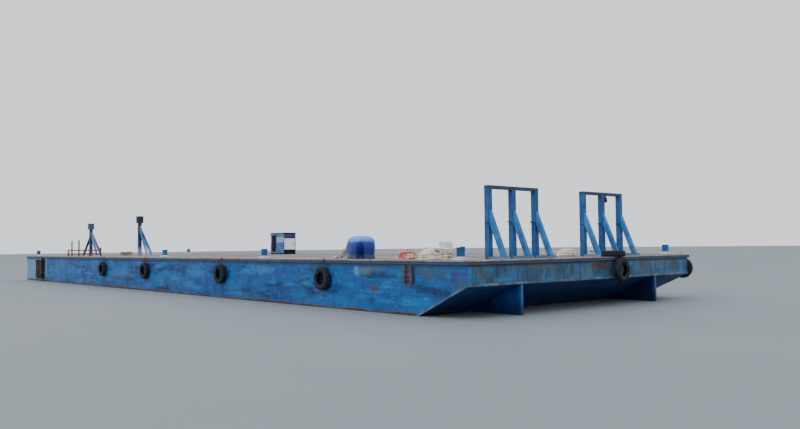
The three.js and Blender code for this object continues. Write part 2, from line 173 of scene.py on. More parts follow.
def spokes(axis, count):
    # unit vectors square to the axis, evenly round it
    across = unit(np.cross(axis, (1, 0, 0) if abs(axis[0]) < 0.9 else (0, 1, 0)))
    a = stepsRound(count)[:, None]
    return np.cos(a) * across + np.sin(a) * np.cross(axis, across)


def lathe(profile, centre, segments, axis=(0, 0, 1)):
    # profile rows are (radius, height along the axis), carried once round it; a radius of 0 closes the end
    profile = np.asarray(profile, float)[None]
    out = spokes(axis, segments)[:, None]
    points = np.asarray(centre) + profile[..., :1] * out + profile[..., 1:] * np.asarray(axis, float)
    return points.reshape(-1, 3), gridFaces(segments, profile.shape[1], True, False)


def addPiece(name, shapes, material, body="barge", stands=(), flat=False):
    points, faces, start = [], [], 0
    for p, f in shapes:
        points.append(p)
        faces += [[i + start for i in face] for face in f]
        start += len(p)
    mesh = bpy.data.meshes.new(name)
    mesh.from_pydata(np.concatenate(points).tolist(), [], faces)
    work = bmesh.new()
    work.from_mesh(mesh)
    bmesh.ops.remove_doubles(work, verts=work.verts, dist=1e-6)  # closes the poles
    bmesh.ops.recalc_face_normals(work, faces=work.faces)
    work.to_mesh(mesh)
    work.free()
    mesh.shade_flat() if flat else mesh.shade_smooth()
    mesh.materials.append(material)
    piece = putInScene(name, mesh)
    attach(piece, body)
    if stands:
        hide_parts(*stands)
    return piece


# Finishes
evenly = (1, 1, 1)  # blotches stretched no way


def hexColour(code):
    # sRGB hex to linear
    s = np.array([int(code[i:i + 2], 16) for i in (1, 3, 5)]) / 255
    return (*np.where(s <= 0.04045, s / 12.92, ((s + 0.055) / 1.055) ** 2.4).tolist(), 1.0)


def addNode(tree, kind, links=None, **settings):
    node = tree.nodes.new("ShaderNode" + kind)
    for key, value in settings.items():
        setattr(node, key, value)
    for key, value in (links or {}).items():
        if isinstance(value, bpy.types.NodeSocket):
            tree.links.new(value, node.inputs[key])
        else:
            node.inputs[key].default_value = value
    return node


def newFinish(name, **values):
    material = bpy.data.materials.new(name)
    material.use_nodes = True
    tree = material.node_tree
    shader = tree.nodes["Principled BSDF"]
    for key, value in values.items():
        shader.inputs[key.replace("_", " ")].default_value = value
    place = addNode(tree, "TexCoord").outputs["Object"]
    return material, tree, shader, place


def axes(tree, vector):
    # x, y and z of a vector
    return addNode(tree, "SeparateXYZ", {0: vector}).outputs


def both(tree, first, second, operation="MULTIPLY"):
    return addNode(tree, "Math", {0: first, 1: second}, operation=operation).outputs[0]


def ramp(tree, value, low, high, start=0.0, end=1.0, kind="LINEAR"):
    # start where value is low or beyond, end where it is high or beyond
    return addNode(tree, "MapRange", {"Value": value, "From Min": low, "From Max": high,
                                      "To Min": start, "To Max": end}, interpolation_type=kind).outputs[0]


def blotches(tree, place, size, low, high, amount=1.0, stretch=evenly, shift=0.0, detail=5):
    # smooth step between low and high of a fractal noise with blotches about size metres across
    scaled = addNode(tree, "Mapping", {"Vector": place, "Location": (shift, shift * 1.7, shift * 0.6),
                                       "Scale": tuple(1 / (size * s) for s in stretch)})
    noise = addNode(tree, "TexNoise", {"Vector": scaled.outputs[0], "Scale": 1.0,
                                       "Detail": detail, "Roughness": 0.6})
    return ramp(tree, noise.outputs[0], low, high, 0.0, amount, "SMOOTHSTEP")


def band(tree, value, low, high, soft, amount=1.0):
    # amount between low and high, fading over soft at both ends
    rise = ramp(tree, value, low - soft, low, 0.0, 1.0, "SMOOTHSTEP")
    return both(tree, rise, ramp(tree, value, high, high + soft, amount, 0.0, "SMOOTHSTEP"))


def patchAt(tree, place, centre, half, ragged, amount=1.0):
    # amount inside an ellipse of half sizes half round centre, its edge eaten away by noise of size ragged
    away = addNode(tree, "VectorMath", {0: place, 1: centre}, operation="SUBTRACT")
    scaled = addNode(tree, "VectorMath", {0: away.outputs[0], 1: half}, operation="DIVIDE")
    far = addNode(tree, "VectorMath", {0: scaled.outputs[0]}, operation="LENGTH").outputs["Value"]
    grain = blotches(tree, place, ragged, 0.3, 0.7, 0.8, evenly, centre[0] + centre[1], 8)
    return ramp(tree, both(tree, far, grain, "ADD"), 0.75, 1.5, amount, 0.0, "SMOOTHSTEP")


def wear(tree, place, rows):
    # coats of blotches; rows are (colour, size, from, to, amount, stretch, shift, detail), where the last
    # four may be left out
    return [(blotches(tree, place, *values), colour) for colour, *values in rows]


def coats(tree, under, layers):
    # coats of (mask, colour), each over the ones before where its mask says
    colour = under
    for mask, code in layers:
        over = hexColour(code) if isinstance(code, str) else code
        colour = addNode(tree, "Mix", {0: mask, 6: colour, 7: over}, data_type="RGBA").outputs[2]
    return colour


def paint(tree, shader, base, layers):
    tree.links.new(coats(tree, hexColour(base), layers), shader.inputs["Base Color"])


def roughen(tree, shader, height, distance, strength=0.5):
    bump = addNode(tree, "Bump", {"Height": height, "Distance": distance, "Strength": strength})
    tree.links.new(bump.outputs[0], shader.inputs["Normal"])


def weave(tree, shader, place, spacing):
    # height = product of two crossed waves, one wave per tape
    tapes = [addNode(tree, "TexWave", {"Vector": place, "Scale": 0.5 / spacing, "Distortion": 0.4},
                     bands_direction=way).outputs[1] for way in ("X", "Z")]
    roughen(tree, shader, both(tree, *tapes), 0.0008, 0.35)


def weatheredPaint(name, base, light, dark, rust="#5a3a30", rustAmount=0.5, rustFrom=0.6, roughness=0.55,
                   specular=0.35, streaks=0.5, bands=()):
    # brushed marine enamel on mild steel: uneven tone, rain streaks, rust coming through, slight brush relief.
    # bands are (axis, from, to, softness, amount, colour); an amount of 1 goes on under the wear
    material, tree, shader, place = newFinish(name, Roughness=roughness, Specular_IOR_Level=specular)
    spot = axes(tree, place)

    def bandCoats(underWear):
        return [(band(tree, spot[axis], low, high, soft, amount), colour)
                for axis, low, high, soft, amount, colour in bands if (amount == 1) == underWear]

    layers = bandCoats(True) + wear(tree, place, [
        (light, 0.35, 0.38, 0.68, 0.9),
        (dark, 0.175, 0.45, 0.75, 0.8, evenly, 3.1),
        (dark, 0.07, 0.45, 0.80, streaks, (1, 1, 9), 7.7)])
    layers += bandCoats(False) + wear(tree, place, [
        (rust, 0.16, rustFrom, rustFrom + 0.1, rustAmount, evenly, 12.4, 8)])
    paint(tree, shader, base, layers)
    roughen(tree, shader, blotches(tree, place, 0.03, 0.2, 0.8, shift=1.3), 0.002, 0.6)
    return material


def rustySteel(name, base="#5a3a2c", light="#8a5a44", dark="#33241f"):
    # mild steel left to the weather: flaking brown scale with brighter new rust
    material, tree, shader, place = newFinish(name, Roughness=0.85, Specular_IOR_Level=0.25)
    paint(tree, shader, base, wear(tree, place, [
        (light, 0.12, 0.40, 0.65),
        (dark, 0.05, 0.45, 0.70, 0.9, evenly, 4.0)]))
    roughen(tree, shader, blotches(tree, place, 0.012, 0.3, 0.7, shift=2.0), 0.003, 0.8)
    return material


# Ropes: the barge's own mooring lines, heaped along the deck edges
ropeSettings = {
    "pointsPerTurn": 48,
    "around": 10,
    "strands": 3,
    "layShare": 3.4,  # one full twist of the strands, in diameters
    "rowGap": 1.03,  # between neighbouring loops, in diameters
    "chance": {"radius": 0.18, "oval": 0.10, "lean": 0.5, "aside": 0.5},  # aside in diameters
    "climb": 1.2,  # steepest slope where the rope passes over itself
    "settle": 0.45,  # share of its own roundness that a rope keeps where it lies on another
    "cellShare": 6,  # cells of the height map to a diameter
    "mound": 0.30,  # how much lower a heap is at its rim than in its middle
    "taper": 0.30,  # how much its loops draw in towards the top
    "press": 1.25,  # height a heap would never pass, in heights of the frame's ring
    "stiffness": (14, 40),  # smoothing passes: every way, then up and down alone
    "whipping": (0.0012, 12),  # thickness of the twine round the ends, points round it
    "heaps": [  # node, diameter, hollow radius, outer radius, turns, finish, seed
        ("rope_coil_port_1", 0.045, 0.080, 0.190, 13, "hawser", 11),
        ("rope_coil_port_2", 0.036, 0.062, 0.258, 19, "cream", 12),
        ("rope_coil_port_3", 0.036, 0.062, 0.258, 18, "red", 13),
        ("rope_coil_stern_1", 0.036, 0.062, 0.258, 16, "cream", 14),
        ("rope_coil_stern_2", 0.036, 0.062, 0.258, 14, "cream", 15),
    ],
}


def ropeFinish(name, base, light, dark, diameter, whiteFrom=None):
    # laid polypropylene, sun bleached: fuzzy, darker in the grooves between the strands (painted shade, partly
    # dirt), white above whiteFrom.
    # strand wave = sin(strands (angle round the rope + full turn x length / lay length))
    material, tree, shader, place = newFinish(name, Roughness=0.9, Specular_IOR_Level=0.2,
                                              Sheen_Weight=0.25, Sheen_Roughness=0.5)
    lay = axes(tree, addNode(tree, "Attribute", attribute_name="strandLay").outputs["Vector"])
    angle = both(tree, lay[1], lay[0], "ARCTAN2")
    strands = ropeSettings["strands"]
    twist = strands * fullTurn / (diameter * ropeSettings["layShare"])
    phase = both(tree, both(tree, angle, strands), both(tree, lay[2], twist), "ADD")
    wave = addNode(tree, "Math", {0: phase}, operation="SINE").outputs[0]
    layers = wear(tree, place, [
        (light, 0.11, 0.42, 0.62),
        (dark, 0.05, 0.52, 0.74, 0.6, evenly, 2.2)])
    if whiteFrom:
        layers.append((band(tree, axes(tree, place)[2], whiteFrom, 99, 0.08, 0.9), "#fbfbfd"))
    # darker in the grooves between strands: painted shade, partly dirt
    paint(tree, shader, base, layers + [(ramp(tree, wave, -1.0, -0.4, 0.85, 0.0), dark)])
    fibre = blotches(tree, place, 0.006, 0.3, 0.7, 0.35, shift=5.0)
    roughen(tree, shader, both(tree, wave, fibre, "ADD"), 0.002, 0.7)
    return material


def heapPath(centre, base, tall, d, inner, outer, turns, seed):
    # x, y = loops whose radius goes out and in by a row gap a turn, with chance in radius, oval and middle.
    # z rests each part of the rope on what lies under it, read from a map of heights, and eases it over
    # crossings: z = largest of z' - climb x distance. Its own weight presses the heap down: height' = rest +
    # limit tanh((height - rest) / limit) (1 - mound (r / outer)^2)
    per = ropeSettings["pointsPerTurn"]
    chance = ropeSettings["chance"]
    t = np.arange(turns * per) / per
    rng = np.random.default_rng(seed)

    def drift(values, each):
        line = np.interp(t, np.arange(len(values)) * each, values)
        window = np.ones(per // 2 + 1) / (per // 2 + 1)
        return np.convolve(np.pad(line, per // 4, mode="edge"), window, "valid")

    rows = (outer - inner - d) / (ropeSettings["rowGap"] * d)
    wave = np.abs((np.arange(turns + 1) / rows + 1) % 2 - 1)
    share = drift(np.clip(wave + rng.uniform(-chance["radius"], chance["radius"], turns + 1), 0, 1), 1.0)
    oval = drift(rng.uniform(0.0, chance["oval"], turns + 1), 1.0)
    lean = drift(np.cumsum(rng.uniform(-chance["lean"], chance["lean"], turns + 1)), 1.0)
    aside = [drift(rng.uniform(-chance["aside"], chance["aside"], 2 * turns + 2) * d, 0.5) for _ in range(2)]
    angle = t * fullTurn + 0.7 * seed
    r = (inner + d / 2 + (outer - inner - d) * share) * (1 + oval * np.cos(2 * (angle - lean)))
    r = np.minimum(r, outer - d / 2 - np.hypot(*aside))
    x, y = r * np.cos(angle) + aside[0], r * np.sin(angle) + aside[1]

    # the map of heights, and the rope's round top as cells round its middle
    cell = d / ropeSettings["cellShare"]
    half = ropeSettings["cellShare"] // 2
    reach = outer + 2 * d
    heights = np.full((int(2 * reach / cell) + 1,) * 2, base)
    ox, oy = (k.ravel() for k in np.meshgrid(*[np.arange(-half, half + 1)] * 2))
    near = cell * np.hypot(ox, oy) <= d / 2
    ox, oy = ox[near], oy[near]
    rise = np.sqrt(np.maximum((d / 2) ** 2 - cell ** 2 * (ox ** 2 + oy ** 2), 0))
    column, row = (((k + reach) / cell).astype(int) for k in (x, y))

    def eased(z, at, among):
        far = np.abs(at[:, None] - among[None]) * np.hypot(np.gradient(x), np.gradient(y)).mean()
        return (z[among][None] - ropeSettings["climb"] * far).max(1)

    rest = base + d / 2
    z = np.full(len(t), rest)
    third = per // 3
    for first in range(0, len(t), third):  # laid a third of a turn at a time
        laid = np.arange(first, min(first + third, len(t)))
        under = (column[laid, None] + ox, row[laid, None] + oy)
        z[laid] = np.maximum((heights[under] + rise * ropeSettings["settle"]).max(1), rest)
        z[laid] = eased(z, laid, np.arange(max(0, first - third), laid[-1] + 1))
        np.maximum.at(heights, under, z[laid, None] + rise)
    z = eased(z, np.arange(len(t)), np.arange(len(t)))

    sag = 1 - ropeSettings["mound"] * (np.hypot(x, y) / outer) ** 2
    limit = tall * ropeSettings["press"]
    z = rest + limit * np.tanh((z - rest) / limit) * sag
    drawnIn = 1 - ropeSettings["taper"] * (z - rest) / tall
    path = np.stack([centre[0] + x * drawnIn, centre[1] + y * drawnIn, z], 1)
    everyWay, upAndDown = ropeSettings["stiffness"]
    soften(path, everyWay)
    soften(path[:, 2:], upAndDown)
    return path


def layRope(path, around):
    # for each point of the rope's tube: cos and sin of its angle round the rope, and the length along it
    a, along = stepsRound(around), walk(path)
    ring = np.stack([np.cos(a), np.sin(a)], 1)
    lay = np.concatenate([np.tile(ring, (len(path), 1)), np.repeat(along, around)[:, None]], 1)
    return np.concatenate([lay, [[1, 0, 0], [1, 0, along[-1]]]]), along


def makeRopes(ropeFinishes):
    around = ropeSettings["around"]
    for name, d, inner, outer, turns, finish, seed in ropeSettings["heaps"]:
        low, high, centre = boxOf(name)
        path = heapPath(centre, low[2], high[2] - low[2], d, inner, outer, turns, seed)
        rope = addPiece(name.replace("rope_coil", "rope"), [tube(path, d / 2, around)], ropeFinishes[finish],
                        stands=[name])
        lay, along = layRope(path, around)
        attribute = rope.data.attributes.new("strandLay", "FLOAT_VECTOR", "POINT")
        attribute.data.foreach_set("vector", lay.astype(np.float32).ravel())
        twine, roundTwine = ropeSettings["whipping"]
        whippings = [addPiece(f"{rope.name}_whipping_{end}", [tube(part, d / 2 + twine, roundTwine)],
                              ropeFinishes["twine"])
                     for end, part in (("inner", path[1:5]), ("outer", path[-5:-1]))]
        top = path[:, 2].max() + d / 2 - low[2]
        print(name, "rope", round(float(along[-1]), 2), "m, heap", round(float(top), 3))


makeRopes({
    "hawser": ropeFinish("bleachedHawser", "#c0b19c", "#efe6d6", "#7a6a56", 0.045, whiteFrom=1.76),
    "cream": ropeFinish("bleachedLaidRope", "#f0dccb", "#fff7ee", "#9c8472", 0.036),
    "red": ropeFinish("fadedRedLaidRope", "#c8746a", "#f4d2ca", "#7c4540", 0.036),
    "twine": weatheredPaint("whippingTwine", "#a3917a", "#c4b49c", "#6e604e", rustAmount=0.0, roughness=0.9),
})
print("ropes laid")


# Hull paint
hullSettings = {
    "plateLength": 3.02,  # vertical weld seams, 6 m plates at half size
    "strakes": (0.86, 1.21),  # heights of the lengthwise seams
    "slantSeam": (0.305, 6.621),  # a dark line where x + 0.305 z is 6.621
    "frameSpacing": 0.305,  # the plating hollows slightly between frames 610 mm apart
    # dark patch on the hull behind each tyre: painted shade of the tyre, partly rubber rubbed on
    "tyreShadeAndRub": ((0.34, 0.5, 0.34), 0.02, "#0a2038", 0.85),  # half sizes, below the tyre, colour, amount
    "ragged": {"side": 0.10, "transom": 0.08},  # size of what eats at the edges of patches
    "sidePatches": [  # x, z, half length, half height, colour, amount
        (-11.10, 0.965, 0.20, 0.085, "#4f3230", 0.85),
        (-11.02, 1.375, 0.46, 0.13, "#43606e", 0.75),
        (-10.80, 1.30, 0.30, 0.10, "#5c7078", 0.55),
        (-10.53, 1.36, 0.11, 0.16, "#5b94c7", 0.8),
        (1.05, 0.50, 0.55, 0.07, "#351018", 0.95),
        (-13.42, 1.25, 0.14, 0.14, "#3c326b", 0.8),
        (-13.55, 1.05, 0.28, 0.26, "#3d4e55", 0.6),
        (-9.0, 1.38, 0.34, 0.11, "#27536e", 0.8),
        (-12.75, 1.30, 0.55, 0.17, "#394d5e", 0.75),
        (-12.15, 1.20, 0.16, 0.26, "#594e4e", 0.5),
        (-3.2, 1.15, 0.8, 0.20, "#2575b3", 0.7),
        (-6.6, 1.25, 0.7, 0.13, "#2f7cba", 0.7),
        (-5.9, 0.66, 0.40, 0.06, "#3e374e", 0.6),
        (2.6, 1.05, 1.0, 0.25, "#216cac", 0.6),
        (8.9, 1.05, 1.3, 0.30, "#2165a1", 0.7),
    ],
    "transomPatches": [  # y, z, half width, half height, colour, amount
        (-0.25, 1.36, 0.40, 0.12, "#552a26", 0.85),
        (-1.92, 1.30, 0.28, 0.13, "#474540", 0.6),
        (1.75, 1.40, 0.70, 0.08, "#4d5a56", 0.7),
        (2.75, 1.18, 0.45, 0.06, "#2478bc", 0.6),
        (-3.1, 1.30, 0.6, 0.14, "#42525e", 0.7),
    ],
}


def hullSide(tree, place, spot):
    # cobalt enamel: broad bleached and touched-up areas, then thinner wear, rain streaks, flecks and scrapes
    x, z = spot[0], spot[2]
    layers = [(band(tree, z, 0.0, 0.78, 0.35, 0.6), "#053e7d")]
    layers += wear(tree, place, [
        ("#1464a5", 2.2, 0.42, 0.62, 0.8, (1.5, 1, 0.5), 2.0),
        ("#02264f", 0.8, 0.50, 0.64, 0.9, (2.4, 1, 0.5), 9.0),
        ("#2480c0", 0.30, 0.50, 0.68, 0.6, (2.6, 1, 0.5), 31.0),
        ("#146099", 0.13, 0.52, 0.70, 0.5, (1, 1, 4), 4.0),
        ("#022148", 0.10, 0.52, 0.70, 0.6, (1, 1, 5), 17.0)])
    layers += [(band(tree, x, 12.0, 14.0, 3.5, 0.35), "#286aa1")]
    layers += wear(tree, place, [
        ("#408abf", 0.10, 0.58, 0.72, 0.6, (2.2, 1, 0.5), 21.0, 8),
        ("#1d3c58", 0.12, 0.58, 0.70, 0.8, (1.2, 1, 1), 33.0, 8),
        ("#4d372d", 0.06, 0.66, 0.73, 0.85, evenly, 41.0, 8),
        ("#8fb3c0", 0.02, 0.76, 0.80, 0.8, (1.6, 1, 0.6), 51.0)])
    ragged = hullSettings["ragged"]["side"]
    layers += [(patchAt(tree, place, (px, sideY, pz), (long, 0.5, high), ragged, amount), colour)
               for px, pz, long, high, colour, amount in hullSettings["sidePatches"]]
    # rust and dirt washed down from the deck edge, and a dark patch behind each tyre: painted shade of the
    # tyre, partly rubber rubbed on
    runs = both(tree, blotches(tree, place, 0.08, 0.56, 0.68, 0.65, (1.3, 1, 9), 61.0, 8),
                band(tree, z, 1.40, 1.6, 0.35))
    layers += [(band(tree, x, 12.45, 13.8, 0.15, 0.75), "#6f98c2"),  # bleached end at the bow
               # dark band under the deck rail: painted shadow of the rail
               (band(tree, z, 1.405, 1.53, 0.04, 0.75), "#1b4468"),
               (runs, "#3a2f33")]
    # painted shade behind each tyre, partly rubber rubbed on
    half, below, colour, amount = hullSettings["tyreShadeAndRub"]
    for name in [n for n in nodes if n.startswith(("tyre_port", "tyre_starboard"))]:
        low, _, middle = boxOf(name)
        shadeAndRubSpot = (middle[0], math.copysign(sideY, low[1]), middle[2] - below)
        layers.append((patchAt(tree, place, shadeAndRubSpot, half, ragged, amount), colour))
    return coats(tree, hexColour("#064a8f"), layers)


def hullTransom(tree, place, spot):
    # the same paint grey with age on the transom, streaked with rust from the deck edge, with painted shadow
    # under the deck rail
    layers = wear(tree, place, [
        ("#336c98", 0.5, 0.42, 0.62, 0.9, evenly, 2.0),
        ("#223a4c", 0.07, 0.46, 0.66, 0.9, (1, 1, 7), 6.0),
        ("#4d6c6c", 0.09, 0.50, 0.68, 0.8, (1, 1, 6), 8.0),
        ("#5f4032", 0.06, 0.57, 0.68, 0.85, (1, 1, 5), 14.0),
        ("#2c7ab4", 0.30, 0.54, 0.70, 0.7, (1, 1, 1.8), 26.0, 8)])
    ragged = hullSettings["ragged"]["transom"]
    layers += [(patchAt(tree, place, (transomX, py, pz), (0.5, wide, high), ragged, amount), colour)
               for py, pz, wide, high, colour, amount in hullSettings["transomPatches"]]
    # dark band under the deck rail: painted shadow of the rail
    layers += [(band(tree, spot[2], 1.43, 1.53, 0.03, 0.75), "#22323e")]
    return coats(tree, hexColour("#28506e"), layers)


def hullPaint():
    # marine enamel brushed over old coats on ship plate: cobalt blue, bleached in patches, streaked by rain,
    # scraped, with weld seams, plates hollowed between frames, scum at the waterline, and painted shade on
    # downward faces and under the deck rail
    material, tree, shader, place = newFinish("marineEnamelOnPlate", Specular_IOR_Level=0.3)
    spot = axes(tree, place)
    x, z = spot[0], spot[2]
    facing = axes(tree, addNode(tree, "TexCoord").outputs["Normal"])
    # downward faces: dark bottom paint, darkened further as painted shade
    under = coats(tree, hexColour("#0a3264"), wear(tree, place, [
        ("#0a3c7a", 0.6, 0.45, 0.7, 0.8, evenly, 5.0),
        ("#03142c", 0.25, 0.5, 0.7, 0.7, evenly, 15.0)]))
    layers = [(ramp(tree, facing[0], -0.8, -0.95), hullTransom(tree, place, spot)),
              (ramp(tree, facing[2], -0.3, -0.4), under)]
    # scum and worn boot top just above the water
    ripple = both(tree, z, blotches(tree, place, 0.8, 0.3, 0.7, 0.05, shift=3.0), "SUBTRACT")
    layers += [(band(tree, ripple, 0.3, waterline + 0.022, 0.012, 0.9), "#5a4033"),
               (band(tree, ripple, waterline + 0.042, waterline + 0.050, 0.008, 0.35), "#2c5078"),
               (band(tree, ripple, 0.3, waterline, 0.012, 0.8), "#2c2625")]
    # weld seams: near the nearest multiple of the plate length, and near each strake
    seam = ramp(tree, both(tree, x, hullSettings["plateLength"], "PINGPONG"), 0.008, 0.0)
    for height in hullSettings["strakes"]:
        seam = both(tree, seam, band(tree, z, height - 0.002, height + 0.002, 0.006), "MAXIMUM")
    lean, at = hullSettings["slantSeam"]  # the edge of a doubled plate forward
    slant = band(tree, both(tree, x, both(tree, z, lean), "ADD"), at - 0.006, at + 0.006, 0.010)
    layers += [(both(tree, seam, 0.28), "#06233f"), (both(tree, slant, 0.7), "#0a1c30")]
    tree.links.new(coats(tree, hullSide(tree, place, spot), layers), shader.inputs["Base Color"])
    # relief: seams stand proud, plates are hollow between frames, the paint itself is uneven
    frames = both(tree, x, hullSettings["frameSpacing"] / 2, "PINGPONG")
    raised = both(tree, seam, both(tree, frames, -2.0), "ADD")
    skin = blotches(tree, place, 0.10, 0.2, 0.8, 0.9, evenly, 13.0, 8)
    roughen(tree, shader, both(tree, raised, skin, "ADD"), 0.006, 0.5)
    rough = both(tree, blotches(tree, place, 0.4, 0.35, 0.7, 0.25, shift=19.0), 0.48, "ADD")
    tree.links.new(rough, shader.inputs["Roughness"])
    return material


def tyreRubber():
    # cross-ply lorry tyre hung as a fender: grey-black, chalky where it rubs
    material, tree, shader, place = newFinish("wornTyreRubber", Roughness=0.8, Specular_IOR_Level=0.3)
    paint(tree, shader, "#1b2029", wear(tree, place, [
        ("#363c46", 0.12, 0.50, 0.70, 0.7),
        ("#4e443c", 0.05, 0.58, 0.72, 0.7, evenly, 3.0)]))
    roughen(tree, shader, blotches(tree, place, 0.01, 0.3, 0.7, shift=6.0), 0.002, 0.6)
    return material


def coatedTarp():
    # woven polythene tarpaulin, coated: a painted highlight on its top where the sky would shine, fine crossed
    # weave
    material, tree, shader, place = newFinish("coatedPolyTarp", Roughness=0.45, Specular_IOR_Level=0.5,
                                              Coat_Weight=0.25, Coat_Roughness=0.35)
    spot = axes(tree, place)
    rise = both(tree, spot[2], blotches(tree, place, 0.14, 0.3, 0.7, 0.05, shift=6.0), "ADD")
    layers = [(band(tree, spot[2], 1.4, 1.66, 0.12, 0.75), "#081c50")]
    layers += wear(tree, place, [
        ("#1850bc", 0.20, 0.45, 0.66, 0.8, (1, 1, 2.5)),
        ("#0c2878", 0.07, 0.50, 0.70, 0.6, (1, 1, 3), 4.0),
        ("#5f92e0", 0.05, 0.62, 0.74, 0.6, (1, 1, 3), 8.0)])
    layers += [(band(tree, spot[0], -9.44, -9.2, 0.10, 0.55), "#6a80a6"),
               # pale on top: painted highlight of the sky
               (band(tree, rise, 1.975, 2.3, 0.07, 0.9), "#6098ee")]
    paint(tree, shader, "#0b2f90", layers)
    weave(tree, shader, place, 0.012)  # real tapes are 3 mm: drawn coarser so that they show
    return material


def oldCanvas():
    # cotton canvas, washed out to grey white, darker in blotches, soft and rough
    material, tree, shader, place = newFinish("washedCanvas", Roughness=0.95, Specular_IOR_Level=0.15,
                                              Sheen_Weight=0.3, Sheen_Roughness=0.6)
    paint(tree, shader, "#f2f3fc", wear(tree, place, [
        ("#ffffff", 0.10, 0.45, 0.65),
        ("#b4b8c8", 0.05, 0.55, 0.70, 0.6, evenly, 4.0)]))
    weave(tree, shader, place, 0.008)
    return material


def deckCoating():
    # walked-on deck paint over steel: buff and pink primer with rust between, seams round each plate
    material, tree, shader, place = newFinish("wornDeckCoating", Roughness=0.85, Specular_IOR_Level=0.25)
    spot = axes(tree, place)
    seam = both(tree, *[ramp(tree, both(tree, spot[axis], spacing, "PINGPONG"), 0.01, 0.0)
                        for axis, spacing in ((0, 1.51), (1, 0.762))], "MAXIMUM")
    paint(tree, shader, "#857b78", wear(tree, place, [
        ("#9c928f", 0.90, 0.42, 0.62),
        ("#6e5348", 0.35, 0.50, 0.66, 0.7, evenly, 4.0),
        ("#4e494a", 0.15, 0.55, 0.70, 0.6, evenly, 9.0, 8),
        ("#c4bbb4", 0.50, 0.60, 0.70, 0.4, evenly, 14.0)]) + [(both(tree, seam, 0.5), "#4a3a33")])
    grain = blotches(tree, place, 0.02, 0.3, 0.7, shift=2.0)
    roughen(tree, shader, both(tree, seam, grain, "ADD"), 0.003, 0.6)
    return material


def lampGlass():
    # moulded bulkhead glass, frosted white inside: smooth, bright, faintly ribbed
    material, tree, shader, place = newFinish("frostedLampGlass", Roughness=0.2, Specular_IOR_Level=0.6,
                                              IOR=1.5, Coat_Weight=0.4)
    paint(tree, shader, "#eef4f8", wear(tree, place, [("#cfdbe4", 0.03, 0.4, 0.7, 0.5)]))
    ribs = addNode(tree, "TexWave", {"Vector": place, "Scale": 40.0}, bands_direction="Z").outputs[1]
    roughen(tree, shader, ribs, 0.001, 0.4)
    return material


